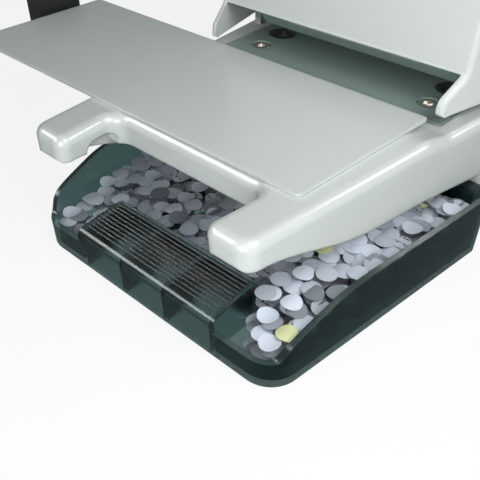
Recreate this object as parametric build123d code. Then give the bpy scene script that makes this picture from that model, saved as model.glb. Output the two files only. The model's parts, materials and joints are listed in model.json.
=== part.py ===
from build123d import *
import os
from math import acos, atan2, cos, degrees, pi, radians, sin, tan

# Electric two-hole desk punch, fed from the front. Millimetres.
# While the pieces are modelled, X is to the right of the machine's middle, Y runs back from the
# chip tray's front edge and Z is the height over the desk. At the end every piece is moved by the
# same amount, so that the origin is the middle of the machine's footprint on the desk.

# ---------------------------------------------------------------- driving dimensions
# Punching
hole_pitch = 80.0
hole_diameter = 7.0
hole_margin = 12.0             # hole centre to the paper's edge at the back stop
punch_y = 120.0
stroke = 8.0
die_top = 50.0                 # height of the throat's floor
die_thickness = 4.0
throat_height = 4.6
tip_retract = 0.4              # punch tips above the guide block's lower face at rest
die_clearance = 0.05
running_clearance = 0.04
gap = 0.4                      # air between pieces that move past each other

# Base casting
flare = 0.114                  # sideways spread of the base and tray per unit of depth
base_half = 48.0               # half width of the base on the line y = 0
base_top = 52.2
base_wall = 3.0
base_skin = 3.2
arm_width = 17.5
arm_front = -1.5
arm_corner_radius = 6.0        # seen from above, outer corner of an arm's nose
arm_inner_radius = 4.0
arm_foot_bottom = 42.8
foot_radius = 2.0
beam_y = 22.5
beam_bottom = 41.0
beam_corner_radius = 5.0
beam_draft = 7.0
rim_radius = 3.5               # rounding of the casting's top edges
flare_end = 132.0              # behind this the sides run straight back
rear_y = 225.0
rear_corner_radius = 18.0
leg_front = 113.0
leg_bottom = 4.5
skirt_rear = 25.7              # lower edge of the skirt where it meets the legs

# Paper table
table_thickness = 1.2
table_left = 125.0             # overhang to the left of the machine's middle
table_front = 24.5
table_rear = 90.6
table_right = 43.7
table_right_spread = 0.06
table_roll_radius = 3.0

# Chip tray
tray_half = 56.6               # half width of the tray on the line y = 0
tray_flare = 0.12
tray_wall = 2.0
tray_floor = 2.0
tray_low = 10.0                # rim on the front wall
tray_high = 24.3               # rim along the sides
tray_corner_radius = 11.0
tray_draft = 0.6
tray_wide_end = 108.0
tray_rear_half = 50.5
tray_depth = 141.0
tray_travel = 120.0
bay_clearance = 0.9
grip_half = 33.0
grip_depth = 21.0
grip_front_height = 15.6
grip_rear_height = 18.0
grip_ridges = 11
grip_ridge_radius = 0.45
grip_rib = 1.6

# Head
head_half = 31.0               # half width of the head on the line y = 0
head_spread = 0.24
head_wall = 2.5
head_seam = 0.3
head_draft = 1.0
head_corner_radius = 16.0      # seen from above, at the rear
head_roof_radius = 12.0
cheek_radius = 2.0
toe_radius = 2.2
head_rear_setback = 4.0        # head's rear wall in front of the base's
roof_air = 5.5                 # between the yokes at the top of their travel and the roof
toe_y = 88.0
lip_y = 97.4
lip_z = 66.4
brow_y = 101.5
brow_depth = 10.0
brow_drop = 12.0
roof_y = 172.0                 # behind this the roof falls away
roof_fall = 0.36

# Punch drive
frame_offset = 6.0             # side frame's inner face outboard of the hole centres
frame_thickness = 3.0
guide_block_depth = 16.0
guide_block_height = 13.4
crosshead_depth = 14.0
crosshead_height = 10.0
column_radius = 3.0
column_x = 20.0
yoke_x = 28.0
yoke_thickness = 6.0
yoke_wall = 3.4
eccentric_radius = 9.5
shaft_radius = 4.0
cam_y = 127.0
gear_module = 0.8
gear_width = 3.6
gear_gap = 0.6
wheel_teeth = 36
pinion_teeth = 12
second_wheel_teeth = 28
motor_pinion_teeth = 10
idler_shaft_radius = 2.5
motor_radius = 20.0
motor_length = 60.0

# ---------------------------------------------------------------- worked-out places
hole_x = hole_pitch / 2
frame_inner = hole_x + frame_offset
frame_outer = frame_inner + frame_thickness
throat_top = die_top + throat_height
guide_front = punch_y - guide_block_depth / 2
guide_rear = punch_y + guide_block_depth / 2
guide_top = throat_top + guide_block_height
crosshead_bottom = guide_top + 2 * stroke
crosshead_top = crosshead_bottom + crosshead_height
eccentricity = stroke / 2
# The slide is coupled to the cam at one constant ratio, so the yoke's window is taller than the
# eccentric by the most that the true crank motion runs ahead of or behind that ratio.
crank_lead = 0.211 * eccentricity + 0.25
yoke_window_half = eccentric_radius + crank_lead
cam_z = crosshead_top + yoke_wall + yoke_window_half - eccentricity
yoke_top = cam_z + eccentricity + yoke_window_half + yoke_wall
head_top = yoke_top + roof_air + head_wall
head_rear = rear_y - head_rear_setback
brow_z = head_top - brow_drop
back_stop_y = punch_y + hole_margin
die_half = frame_outer + 1.5
die_front = guide_front - 20.0
die_rear = guide_rear
die_bottom = die_top - die_thickness
gear_start = frame_outer + gear_gap
second_gear_start = gear_start + gear_width + gear_gap
gear_end = second_gear_start + gear_width


def base_side(y):
    """Half width of the base's outside at depth y."""
    return base_half + flare * min(y, flare_end)


def arm_inside(y):
    """Half width of the gap between the arms at depth y."""
    return base_half - arm_width + flare * y


def step(start, distance, angle):
    """Point (y, z) at a distance and angle from another one, seen from the right side."""
    return (start[0] + distance * cos(radians(angle)), start[1] + distance * sin(radians(angle)))


def centre_distance(teeth_a, teeth_b):
    return gear_module * (teeth_a + teeth_b) / 2


cam_axis = (cam_y, cam_z)
first_idler_axis = step(cam_axis, centre_distance(wheel_teeth, pinion_teeth), -10)
second_idler_axis = step(first_idler_axis, centre_distance(wheel_teeth, pinion_teeth), -50)
motor_axis = step(second_idler_axis, centre_distance(second_wheel_teeth, motor_pinion_teeth), -16)


# ---------------------------------------------------------------- shared forms
def outline(*corners):
    """Closed face from corners (u, v) or (u, v, rounding radius)."""
    points = [(corner[0], corner[1]) for corner in corners]
    radii = [corner[2] if len(corner) > 2 else 0 for corner in corners]
    if not any(radii):
        return make_face(Polyline(*points, close=True))
    return make_face(FilletPolyline(*points, radius=radii, close=True))


def mirrored_outline(*right_corners):
    """Face symmetric about x = 0, from the right half's corners, front to back."""
    left_corners = [(-corner[0], *corner[1:]) for corner in reversed(right_corners)]
    return outline(*right_corners, *left_corners)


def upright(face, low, high, taper=0.0):
    """Plan outline raised from one height to another."""
    return Pos(0, 0, low) * extrude(face, amount=high - low, taper=taper)


def across(face, left, right):
    """Side outline (y, z) swept along X."""
    return Pos(left, 0, 0) * extrude(Plane.YZ * face, amount=right - left)


def block(x_span, y_span, z_span):
    """Box between pairs of coordinates."""
    size = [span[1] - span[0] for span in (x_span, y_span, z_span)]
    middle = [(span[1] + span[0]) / 2 for span in (x_span, y_span, z_span)]
    return Pos(*middle) * Box(*size)


def rod_x(radius, left, right, axis):
    """Cylinder along X through the point (y, z)."""
    return Pos((left + right) / 2, *axis) * Rot(0, 90, 0) * Cylinder(radius, right - left)


def post(radius, x, y, low, high):
    """Upright cylinder."""
    return Pos(x, y, (low + high) / 2) * Cylinder(radius, high - low)


def both_sides(shape):
    return shape + mirror(shape, about=Plane.YZ)


def top_outline(body, low):
    """Edges round the faces of a body that look up from above a height."""
    tops = [face for face in body.faces() if face.normal_at(None).Z > 0.5 and face.center().Z > low]
    edges = [edge for face in tops for edge in face.edges()]
    return [edge for edge in edges if edges.count(edge) == 1]


def steep_edges(body, front, rear, half):
    """Edges that run up and down between two depths, within half a width of the middle."""
    return [edge for edge in body.edges() if front < edge.center().Y < rear
            and abs(edge.center().X) < half
            and abs((edge @ 1).Z - (edge @ 0).Z) > 0.8 * edge.length]


def pan_screw(radius, x, y, head_low, length, down=True):
    """Screw along Z with a domed, slotted head. Its shank leads away from the head."""
    head_height = 0.9 * radius
    head = post(2 * radius, x, y, head_low, head_low + head_height)
    head = fillet(head.edges().sort_by(Axis.Z)[-1] if down else head.edges().sort_by(Axis.Z)[0],
                  0.5 * radius)
    top = head_low + head_height if down else head_low
    slot_depth = 0.45 * radius
    slot = block((x - 2.2 * radius, x + 2.2 * radius), (y - 0.25 * radius, y + 0.25 * radius),
                 (top - slot_depth, top + slot_depth))
    if down:
        shank = post(radius, x, y, head_low - length, head_low)
    else:
        shank = post(radius, x, y, head_low + head_height, head_low + head_height + length)
    return head - slot + shank


# ---------------------------------------------------------------- base casting
def base_plan(inset=0.0):
    """Outside of the casting seen from above, without the gap between the arms."""
    front = arm_front + inset
    return mirrored_outline(
        (base_side(front) - inset, front, max(arm_corner_radius - inset, 1)),
        (base_side(flare_end) - inset, flare_end, 60),
        (base_side(flare_end) - inset, rear_y - inset, rear_corner_radius - inset),
    )


def skirt_curve():
    """Lower edge of the casting's side, from the leg forward to the arm's foot."""
    return Spline(
        (leg_front, skirt_rear), (75, skirt_rear + 4.4), (42, skirt_rear + 7.2), (18, 40),
        (arm_front + 5.5, arm_foot_bottom), tangents=[(-1, 0.1), (-1, 0.05)],
    )


def base_side_face():
    """Side outline of the casting: nose, top, dip to the throat's floor, legs and skirt."""
    upper = FilletPolyline(
        (arm_front + 5.5, arm_foot_bottom), (arm_front, arm_foot_bottom), (arm_front, base_top),
        (table_rear - 14.6, base_top), (die_front - 4, die_top), (rear_y, die_top),
        (rear_y, leg_bottom), (leg_front, leg_bottom), (leg_front, skirt_rear),
        radius=[foot_radius, 0, 25, 12, 0, 1, 0.8],
    )
    return make_face([*upper.edges(), *skirt_curve().edges()])


def gap_between_arms():
    """Room between the arms, widening downwards as a mould needs."""
    over = 2.0
    face = mirrored_outline((arm_inside(-20), -20), (arm_inside(beam_y), beam_y, beam_corner_radius))
    return Pos(0, 0, base_top + over) * extrude(face, amount=-base_top - 2 * over, taper=-beam_draft)


def base_blank():
    """Outside of the casting: arms, beam and sides with one rounding along all top edges."""
    blank = upright(base_plan(), 0, base_top) - gap_between_arms()
    noses = steep_edges(blank, arm_front - 0.1, arm_front + 0.1, base_side(0) - arm_corner_radius)
    blank = fillet(noses, arm_inner_radius) & across(base_side_face(), -80, 80)
    return fillet(top_outline(blank, die_top - 1), rim_radius)


def base_casting():
    body = base_blank()
    spread = (base_top - 20) * tan(radians(beam_draft))

    # inside: one cavity open downwards, walls all round
    inner_plan = base_plan(base_wall)
    arms = upright(inner_plan, -5, base_top - base_skin)
    low_part = block((-80, 80), (die_front - 4, rear_y), (die_top - base_skin, base_top))
    arms -= low_part
    core_gap = mirrored_outline(
        (arm_inside(-20) + base_wall + spread, -20),
        (arm_inside(beam_y) + base_wall + spread, beam_y + base_wall + spread, 5),
    )
    arms -= upright(core_gap, -10, base_top) & block((-80, 80), (-20, beam_y + 10), (20, base_top))
    leg_wall = both_sides(block((bay_half(), 80), (leg_front, leg_front + base_wall), (-6, 28)))
    body -= arms - leg_wall

    # bay for the tray's narrow rear, with a wall on three sides
    bay_rear = tray_depth + 1.5
    body -= block((-bay_half(), bay_half()), (0, bay_rear), (-5, 28))
    for side in (-1, 1):
        inner = sorted((side * bay_half(), side * (bay_half() + base_wall)))
        body += block(inner, (leg_front, bay_rear + base_wall), (leg_bottom, die_top - base_skin))
    body += block((-bay_half(), bay_half()), (bay_rear, bay_rear + base_wall), (leg_bottom, 33))

    # cut-away of the arms' inner walls behind their feet, and the beam's lower edge
    notch = outline((9, 20), (beam_y - 0.6, 20), (beam_y - 0.6, 46, 3), (9, 46, 4))
    beam_cut = outline((beam_y - 2, 20), (beam_y + 12, 20), (beam_y + 12, beam_bottom),
                       (beam_y - 2, beam_bottom))
    for cut in (notch, beam_cut):
        body -= across(cut, -arm_inside(beam_y) - base_wall - 2, arm_inside(beam_y) + base_wall + 2)

    # seat of the die plate and the opening that chips fall through
    body += block((-die_half - 2, die_half + 2), (die_front - 3, die_front + 6),
                  (die_bottom - 4, die_bottom + 0.8))
    body += block((-frame_inner, frame_inner), (die_rear - 4, die_rear + 5),
                  (die_bottom - 4, die_bottom + 0.8))
    body -= block((-die_half - 0.2, die_half + 0.2), (die_front - 0.2, die_rear + 0.2),
                  (die_bottom, die_top + 5))
    for side in (-1, 1):
        x = side * die_screw_x
        body += post(5, x, die_screw_y, 34, die_bottom)
        body += block((x - 3, x + 3), (die_front + 2, die_screw_y), (36, die_bottom))
        body -= post(die_screw_radius, x, die_screw_y, 33, die_bottom + 1)

    # slots that the side frames rise through, and lugs that hold them
    for side in (-1, 1):
        slot_x = sorted((side * (frame_inner - 0.3), side * (frame_outer + 0.3)))
        body -= block(slot_x, (back_stop_y + 1.5, frame_rear + 0.5), (40, die_top + 2))
        for y in frame_lug_y:
            lug_x = sorted((side * frame_outer, side * (frame_outer + 5)))
            body += block(lug_x, (y - 5, y + 5), (frame_screw_z - 4, die_top - base_skin + 0.2))
            body -= rod_x(1.6, *sorted((side * frame_outer, side * (frame_outer + 4))),
                          (y, frame_screw_z))

    # bosses for the bottom plate and the head cover, holes for the table's studs
    for x, y in bottom_screw_places():
        body += post(3.6, x, y, leg_bottom, die_top - base_skin + 0.1) & upright(base_plan(), 0, 60)
        body -= post(1.4, x, y, leg_bottom - 1, leg_bottom + 10)
    for x, y in cover_screw_places():
        body -= post(1.8, x, y, die_top - base_skin - 1, die_top + 1)
    for x, y in table_stud_places:
        body -= post(stud_radius + 0.2, x, y, base_top - base_skin - 1, base_top + 1)
    for x in back_stop_screw_x:
        body -= post(1.5, x, back_stop_y + 5.5, die_bottom - 5, die_top + 1)
    body -= block((-lever_half - 1, lever_half + 1), (back_stop_y - 3.5, back_stop_y + 7.5),
                  (die_top - lever_pocket_depth, die_top + 1))

    # rear wall: inlet and switch
    body -= block((inlet_x - inlet_half_w, inlet_x + inlet_half_w), (rear_y - 6, rear_y + 1),
                  (inlet_z - inlet_half_h, inlet_z + inlet_half_h))
    body -= block((switch_x - switch_half_w, switch_x + switch_half_w), (rear_y - 6, rear_y + 1),
                  (switch_z - switch_half_h, switch_z + switch_half_h))
    return body


# ---------------------------------------------------------------- places shared by pieces
die_screw_x = hole_x - 1.0
die_screw_y = punch_y - 15.5
die_screw_radius = 2.0
die_screw_head_radius = 4.0
frame_rear = max(rear_y - 25.0, motor_axis[0] + motor_radius)
back_stop_screw_x = (-25.0, 25.0)
frame_lug_y = (158.0, frame_rear - 10.0)
frame_screw_z = die_bottom - 6.0
stud_radius = 2.0
table_stud_places = [(x, y) for x in (-33.0, 33.0) for y in (42.0, 76.0)]
inlet_x = -30.0
inlet_z = 26.0
inlet_half_w = 13.8
inlet_half_h = 9.8
switch_x = 26.0
switch_z = 26.0
switch_half_w = 9.6
switch_half_h = 6.8


def bay_half():
    """Half width of the tray's bay between the legs."""
    return tray_rear_half + tray_high * tan(radians(tray_draft)) + bay_clearance


def bottom_screw_places():
    leg_x = (bay_half() + base_side(leg_front + 10)) / 2
    return [(side * leg_x, leg_front + 9) for side in (-1, 1)] + \
           [(side * 50.0, rear_y - 13) for side in (-1, 1)]


def cover_screw_places():
    return [(side * (head_side(flare_end) - head_wall - 3.2), y)
            for side in (-1, 1) for y in (flare_end + 17, rear_y - 26)]


def head_side(y):
    """Half width of the head's outside at depth y."""
    return head_half + head_spread * min(y, flare_end)


# ---------------------------------------------------------------- under the base
def bottom_plate():
    plate = upright(base_plan(1.0), 3.0, leg_bottom)
    plate -= block((-80, 80), (-10, leg_front + 0.5), (0, 10))
    plate -= block((-bay_half() - 0.5, bay_half() + 0.5), (0, tray_depth + 2.0), (0, 10))
    for x, y in bottom_screw_places():
        plate -= post(1.7, x, y, 2, 6)
    return plate


def bottom_plate_screws():
    return [pan_screw(1.4, x, y, 3.0 - 0.9 * 1.4, 9, down=False)
            for x, y in bottom_screw_places()]


def rubber_feet():
    leg_x = (bay_half() + base_side(leg_front + 10)) / 2
    feet = []
    for side in (-1, 1):
        pad = Pos(side * leg_x, leg_front + 20, 0) * SlotOverall(14, 7, rotation=90)
        feet.append(extrude(pad, amount=3.0))
        feet.append(post(7, side * 34.0, rear_y - 14, 0, 3.0))
    return [chamfer(foot.edges().group_by(Axis.Z)[0], 0.6) for foot in feet]


# ---------------------------------------------------------------- paper table and its rule
def table_right_edge(y):
    return table_right + table_right_spread * (y - table_front)


def paper_table():
    low = base_top
    high = base_top + table_thickness
    radius = table_roll_radius
    inner = radius - table_thickness
    roll_y = table_rear - radius
    profile = make_face([
        Line((table_front, low), (table_front, high)),
        Line((table_front, high), (roll_y, high)),
        RadiusArc((roll_y, high), (table_rear, high - radius), radius),
        Line((table_rear, high - radius), (table_rear - table_thickness, high - radius)),
        RadiusArc((table_rear - table_thickness, high - radius), (roll_y, low), -inner),
        Line((roll_y, low), (table_front, low)),
    ])
    sheet = across(profile, -table_left - 5, table_right + 10)
    plan = outline(
        (-table_left, table_front, 8), (table_right_edge(table_front), table_front, 2),
        (table_right_edge(table_rear), table_rear, 4), (-table_left, table_rear, 4),
    )
    sheet &= upright(plan, 40, 60)
    for x, y in table_stud_places:
        sheet += post(stud_radius, x, y, base_top - base_skin - 4.5, low + 0.5 * table_thickness)
    return sheet


def table_nuts():
    nuts = []
    for x, y in table_stud_places:
        top = base_top - base_skin
        nut = Pos(x, y, top - 3) * extrude(RegularPolygon(4.0, 6), amount=3)
        nuts.append(nut - post(stud_radius, x, y, top - 4, top + 1))
    return nuts


rule_y = 68.0
rule_width = 12.0
rule_thickness = 2.0
rule_inner_end = -60.0
rule_outer_end = -table_left - 3.0
rule_travel = 45.0
channel_sheet = 1.2
channel_half = rule_width / 2 + gap
channel_inner_height = rule_thickness + 2 * gap


def guide_channel():
    """Folded strip welded under the table's overhang, open at both ends."""
    top = base_top
    low = top - channel_inner_height - channel_sheet
    half = channel_half + channel_sheet
    flange = 5.0
    side = outline(
        (rule_y - half - flange, top), (rule_y - half - flange, top - channel_sheet),
        (rule_y - half, top - channel_sheet), (rule_y - half, low, 1),
        (rule_y + half, low, 1), (rule_y + half, top - channel_sheet),
        (rule_y + half + flange, top - channel_sheet), (rule_y + half + flange, top),
    )
    room = block((-200, 0), (rule_y - channel_half, rule_y + channel_half),
                 (top - channel_inner_height, top + 1))
    return across(side, -table_left + 5, -base_side(rule_y) - 3) - room


def guide_rule():
    middle = base_top - channel_inner_height / 2
    bar = block((rule_outer_end - 4, rule_inner_end),
                (rule_y - rule_width / 2, rule_y + rule_width / 2),
                (middle - rule_thickness / 2, middle + rule_thickness / 2))
    return fillet(bar.edges().filter_by(Axis.Z).group_by(Axis.X)[-1], 2)


def guide_stop():
    face = outline((rule_y - 11, base_top - 7, 2), (rule_y + 11, base_top - 7, 2),
                   (rule_y + 11, base_top + 11, 4), (rule_y - 11, base_top + 11, 4))
    stop = across(face, rule_outer_end - 8, rule_outer_end)
    middle = base_top - channel_inner_height / 2
    stop -= block((rule_outer_end - 4, rule_outer_end + 1),
                  (rule_y - rule_width / 2, rule_y + rule_width / 2),
                  (middle - rule_thickness / 2, middle + rule_thickness / 2))
    return stop


# ---------------------------------------------------------------- chip tray
def tray_plan(inset=0.0):
    depth = tray_depth - inset
    wide_end = tray_wide_end - inset
    side = inset / cos(atan2(tray_flare, 1))
    return mirrored_outline(
        (tray_half - side + tray_flare * inset, inset, tray_corner_radius - inset),
        (tray_half - side + tray_flare * wide_end, wide_end, 6 - inset),
        (tray_rear_half - inset, wide_end, 2 + inset),
        (tray_rear_half - inset, depth, 6 - inset),
    )


def rim_cut():
    """Everything above the rim: low along the front wall, an S-shaped rise, level at the back."""
    curve = Spline(
        (2.6, tray_low), (6.3, tray_low + 3.9), (11.3, tray_low + 7.6), (21, tray_low + 10.9),
        (47, tray_high), tangents=[(1, 0.1), (1, 0)],
    )
    lines = Polyline((47, tray_high), (160, tray_high), (160, 40), (-10, 40), (-10, tray_low),
                     (2.6, tray_low))
    return across(make_face([*curve.edges(), *lines.edges()]), -80, 80)


def grip_profile(inset, bottom):
    """Side outline of the grip hump, set in from its outside."""
    return outline(
        (inset, bottom), (inset - 0.6, grip_front_height - inset, max(3.5 - inset, 0.5)),
        (grip_depth - inset, grip_rear_height - inset, max(2 - inset, 0.5)),
        (grip_depth - inset + 0.6, bottom),
    )


def chip_tray():
    shell = upright(tray_plan(), 0, tray_high + 1, taper=-tray_draft)
    room = upright(tray_plan(tray_wall), tray_floor, tray_high + 3, taper=-tray_draft)
    shell -= room
    shell -= rim_cut()

    hump = across(grip_profile(0, 0), -grip_half, grip_half)
    shell += hump
    hollow = across(grip_profile(tray_wall, -1), -grip_half + tray_wall, grip_half - tray_wall)
    cell = 2 * (grip_half - tray_wall) / 3
    for rib in (-0.5, 0.5):
        hollow -= block((rib * cell - grip_rib / 2, rib * cell + grip_rib / 2),
                        (-5, grip_depth + 5), (-2, 30))
    shell -= hollow

    # ridges along the hump's sloping top
    slope = atan2(grip_rear_height - grip_front_height, grip_depth)
    pitch = (grip_depth - 5.0) / (grip_ridges - 1)
    for index in range(grip_ridges):
        y = 3.6 + index * pitch
        z = grip_front_height + y * tan(slope)
        shell += rod_x(grip_ridge_radius, -grip_half + 1.2, grip_half - 1.2, (y, z))
    return shell


# ---------------------------------------------------------------- die plate and punches
def hole_places():
    return [(-hole_x, punch_y), (hole_x, punch_y)]


bush_radius = hole_diameter / 2 + 2.5


def die_plate():
    plate = block((-die_half, die_half), (die_front, die_rear), (die_bottom, die_top))
    plate = chamfer(plate.edges().filter_by(Axis.X).group_by(Axis.Z)[-1].sort_by(Axis.Y)[0], 0.8)
    for x, y in hole_places():
        plate -= post(bush_radius, x, y, die_bottom - 1, die_top + 1)
    for side in (-1, 1):
        x = side * die_screw_x
        plate -= post(die_screw_radius + 0.2, x, die_screw_y, die_bottom - 1, die_top + 1)
        plate -= post(die_screw_head_radius + 0.3, x, die_screw_y, die_top - 2.4, die_top + 1)
    return plate


def die_plate_screws():
    screws = []
    for side in (-1, 1):
        x = side * die_screw_x
        head = post(die_screw_head_radius, x, die_screw_y, die_top - 2.4, die_top - 0.3)
        head = fillet(head.edges().sort_by(Axis.Z)[-1], 0.9)
        head -= Pos(x, die_screw_y, die_top - 1.6) * extrude(RegularPolygon(1.9, 6), amount=3)
        screws.append(head + post(die_screw_radius, x, die_screw_y, 36, die_top - 2.4))
    return screws


def die_bushes():
    inner = hole_diameter / 2 + die_clearance
    return [post(bush_radius, x, y, die_bottom, die_top)
            - post(inner, x, y, die_bottom - 1, die_top + 1) for x, y in hole_places()]


def guide_block():
    side = outline(
        (guide_front, throat_top + 5), (guide_front + 4, throat_top), (guide_rear, throat_top),
        (guide_rear, guide_top), (guide_front, guide_top),
    )
    body = across(side, -frame_inner, frame_inner)
    for x, y in hole_places():
        body -= post(hole_diameter / 2 + running_clearance, x, y, throat_top - 1, guide_top + 1)
    for side in (-1, 1):
        body -= post(column_radius, side * column_x, punch_y, throat_top + 4, guide_top + 1)
    return body


def guide_columns():
    top = crosshead_top + 3.5
    return [chamfer(post(column_radius, side * column_x, punch_y, throat_top + 4, top)
                    .edges().sort_by(Axis.Z)[-1], 0.6) for side in (-1, 1)]


def crosshead():
    half_depth = crosshead_depth / 2
    end = hole_x + 4.5
    bar = block((-end, end), (punch_y - half_depth, punch_y + half_depth),
                (crosshead_bottom, crosshead_top))
    bar = chamfer(bar.edges().filter_by(Axis.Z), 1.5)
    for x, y in hole_places():
        bar -= post(hole_diameter / 2, x, y, crosshead_bottom - 1, crosshead_top + 1)
    for side in (-1, 1):
        bar -= post(column_radius + running_clearance, side * column_x, punch_y,
                    crosshead_bottom - 1, crosshead_top + 1)
    return bar


def punch_pins():
    """Ground pins with a collar under the crosshead and a notched cutting end."""
    pins = []
    tip = throat_top + tip_retract
    radius = hole_diameter / 2
    for x, y in hole_places():
        pin = post(radius, x, y, tip, crosshead_top)
        pin += post(radius + 1.5, x, y, crosshead_bottom - 2, crosshead_bottom)
        notch = outline((y - radius - 1, tip - 1), (y, tip + 1.3), (y + radius + 1, tip - 1))
        pin -= post(1.5, x, y, crosshead_top - 6, crosshead_top + 1)
        pins.append(pin - across(notch, x - 10, x + 10))
    return pins


def pin_screws():
    return [pan_screw(1.5, x, y, crosshead_top, 5.5) for x, y in hole_places()]


def yoke(side):
    """Plate on the crosshead with a window that the eccentric turns in."""
    half_width = eccentric_radius + eccentricity + gap
    low = crosshead_top
    high = yoke_top
    frame = outline(
        (cam_y - half_width - yoke_wall, low), (cam_y + half_width + yoke_wall, low),
        (cam_y + half_width + yoke_wall, high, 4), (cam_y - half_width - yoke_wall, high, 4),
    )
    window = outline(
        (cam_y - half_width, low + yoke_wall, 1), (cam_y + half_width, low + yoke_wall, 1),
        (cam_y + half_width, low + yoke_wall + 2 * yoke_window_half, 1),
        (cam_y - half_width, low + yoke_wall + 2 * yoke_window_half, 1),
    )
    left, right = sorted((side * yoke_x, side * (yoke_x + yoke_thickness)))
    return across(frame, left, right) - across(window, left - 1, right + 1)


def eccentric(side):
    left, right = sorted((side * yoke_x, side * (yoke_x + yoke_thickness)))
    disc = rod_x(eccentric_radius, left, right, (cam_y, cam_z + eccentricity))
    hub_left, hub_right = sorted((side * (yoke_x - 4), side * yoke_x))
    disc += rod_x(shaft_radius + 2, hub_left, hub_right, cam_axis)
    return disc - rod_x(shaft_radius, hub_left - 10, hub_right + 10, cam_axis)


def camshaft():
    shaft = rod_x(shaft_radius, -frame_outer - 1, second_gear_start - gear_gap + 0.4, cam_axis)
    return chamfer(shaft.edges().filter_by(GeomType.CIRCLE), 0.4)


bearing_radius = shaft_radius + 2.5


def cam_bearings():
    bearings = []
    for side in (-1, 1):
        body = rod_x(bearing_radius, *sorted((side * frame_inner, side * frame_outer)), cam_axis)
        flange = rod_x(bearing_radius + 2, *sorted((side * (frame_inner - 1.2),
                                                    side * frame_inner)), cam_axis)
        bore = rod_x(shaft_radius + running_clearance, -100, 100, cam_axis)
        bearings.append(body + flange - bore)
    return bearings


# ---------------------------------------------------------------- side frames
def side_frame(side):
    """C-shaped steel plate: the throat passes through its open side."""
    front = die_front + 6
    spine = back_stop_y + 2
    plate = outline(
        (front, die_bottom), (front, die_bottom - 12, 2), (frame_rear, die_bottom - 12, 2),
        (frame_rear, cam_z + 6, 6), (150, cam_z + 12, 8), (guide_front, cam_z + 12, 6),
        (guide_front, throat_top), (spine, throat_top), (spine, die_bottom),
    )
    left, right = sorted((side * frame_inner, side * frame_outer))
    plate = across(plate, left, right)
    plate -= rod_x(bearing_radius, left - 1, right + 1, cam_axis)
    for axis in tie_bar_axes:
        plate -= rod_x(2.2, left - 1, right + 1, axis)
    for y in frame_lug_y:
        plate -= rod_x(2.2, left - 1, right + 1, (y, frame_screw_z))
    if side > 0:
        for axis in (first_idler_axis, second_idler_axis):
            plate -= rod_x(idler_shaft_radius, left - 1, right + 1, axis)
        plate -= rod_x(5.0, left - 1, right + 1, motor_axis)
        for angle in motor_screw_angles:
            plate -= rod_x(1.7, left - 1, right + 1, step(motor_axis, 13, angle))
    return plate


tie_bar_axes = ((153.0, cam_z + 5), step(motor_axis, motor_radius + 8, 58),
                (frame_rear - 25, die_bottom - 6))
motor_screw_angles = (20, -110)


def tie_bars():
    bars = []
    for axis in tie_bar_axes:
        bar = rod_x(4.0, -frame_inner, frame_inner, axis)
        bars.append(bar)
    return bars


def side_screw(x_face, side, axis, radius, length):
    """Screw along X whose head lies on the face at x_face and points away to the given side."""
    head = rod_x(2 * radius, *sorted((x_face, x_face + side * 0.9 * radius)), axis)
    outer = head.edges().filter_by(GeomType.CIRCLE).sort_by(Axis.X)
    head = fillet(outer[-1] if side > 0 else outer[0], 0.4 * radius)
    slot = block(sorted((x_face + side * 0.5 * radius, x_face + side * 2 * radius)),
                 (axis[0] - 0.25 * radius, axis[0] + 0.25 * radius),
                 (axis[1] - 3 * radius, axis[1] + 3 * radius))
    shank = rod_x(radius, *sorted((x_face, x_face - side * length)), axis)
    return head - slot + shank


def frame_screws():
    """Screws that hold the frames to the casting's lugs, driven from inside."""
    return [side_screw(side * frame_inner, -side, (y, frame_screw_z), 1.6, frame_thickness + 4)
            for side in (-1, 1) for y in frame_lug_y]


# ---------------------------------------------------------------- gears and motor
def involute(angle):
    return tan(angle) - angle


def spur_gear(teeth, left, axis, tooth_angle):
    """Gear along X with one tooth pointing at tooth_angle (degrees from +Y towards +Z)."""
    backlash = 0.16
    pitch_radius = gear_module * teeth / 2
    base_radius = pitch_radius * cos(radians(20))
    root_radius = pitch_radius - 1.2 * gear_module
    tip_radius = pitch_radius + 0.85 * gear_module
    half_at_pitch = pi / (2 * teeth) - backlash / (2 * pitch_radius)

    def half_angle(radius):
        pressure = acos(min(1.0, base_radius / radius))
        return half_at_pitch + involute(radians(20)) - involute(pressure)

    points = []
    for tooth in range(teeth):
        middle = radians(tooth_angle) + 2 * pi * tooth / teeth
        flank = [(radius, half_angle(radius)) for radius in (root_radius, pitch_radius, tip_radius)]
        for radius, half in flank:
            points.append((radius * cos(middle - half), radius * sin(middle - half)))
        for radius, half in reversed(flank):
            points.append((radius * cos(middle + half), radius * sin(middle + half)))
    face = make_face(Polyline(*points, close=True))
    return Pos(0, *axis) * across(face, left, left + gear_width)


def direction(start, end):
    """Angle in degrees from one axis to another, seen from the right side."""
    return degrees(atan2(end[1] - start[1], end[0] - start[0]))


def meshing_gear(teeth, left, axis, driver_axis):
    """Gear with a gap towards the axis of the gear that it meshes with."""
    return spur_gear(teeth, left, axis, direction(axis, driver_axis) + 180 / teeth)


def cam_gear():
    gear = spur_gear(wheel_teeth, gear_start, cam_axis, direction(cam_axis, first_idler_axis))
    for index in range(5):
        hole = step(cam_axis, 9.0, index * 72 + 20)
        gear -= rod_x(2.4, gear_start - 1, gear_start + gear_width + 1, hole)
    return gear - rod_x(shaft_radius, gear_start - 1, gear_start + gear_width + 1, cam_axis)


def first_idler():
    small = meshing_gear(pinion_teeth, gear_start, first_idler_axis, cam_axis)
    large = spur_gear(wheel_teeth, second_gear_start, first_idler_axis,
                      direction(first_idler_axis, second_idler_axis))
    hub = rod_x(3.7, gear_start, gear_end, first_idler_axis)
    bore = rod_x(idler_shaft_radius + running_clearance, gear_start - 1, gear_end + 1,
                 first_idler_axis)
    return small + large + hub - bore


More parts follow.
